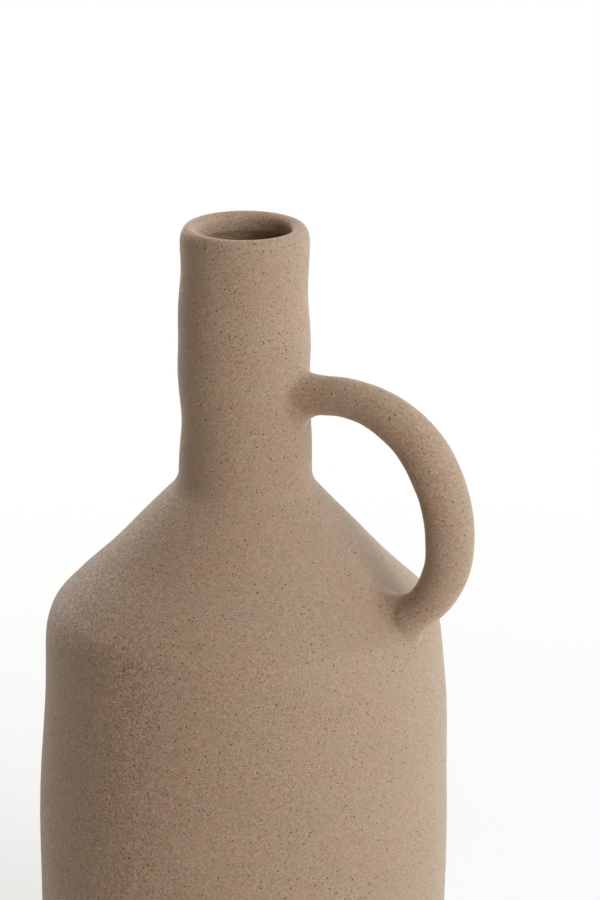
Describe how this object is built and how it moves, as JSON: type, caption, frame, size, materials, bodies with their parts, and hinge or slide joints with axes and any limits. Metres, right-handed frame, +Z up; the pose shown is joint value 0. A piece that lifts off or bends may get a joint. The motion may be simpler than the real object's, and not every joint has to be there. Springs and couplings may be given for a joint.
{
  "type": "bottle vase",
  "caption": "Tall unglazed stoneware bottle vase: upright round body, steep cone shoulder, narrow straight neck with a rounded lip, and a loop handle from neck to shoulder.",
  "frame": {"origin": "on the table plane under the foot, on the axis of the neck's bore", "axes": "+Z up out of the mouth, +X out of the neck along the handle, +Y to the handle's left seen from the handle's side"},
  "size_m": [0.1616, 0.1441, 0.3],
  "materials": {
    "stoneware": "unglazed matte grogged stoneware, fine sandy grain with dark specks"
  },
  "bodies": {
    "root": {"base_slab": "stoneware", "body_wall": "stoneware", "shoulder_cone": "stoneware", "neck_tube": "stoneware", "rim_coil": "stoneware", "handle_coil": "stoneware", "floor_seam_coil": "stoneware", "shoulder_seam_coil": "stoneware", "neck_seam_coil": "stoneware", "upper_handle_collar": "stoneware", "lower_handle_collar": "stoneware"}
  },
  "joints": []
}
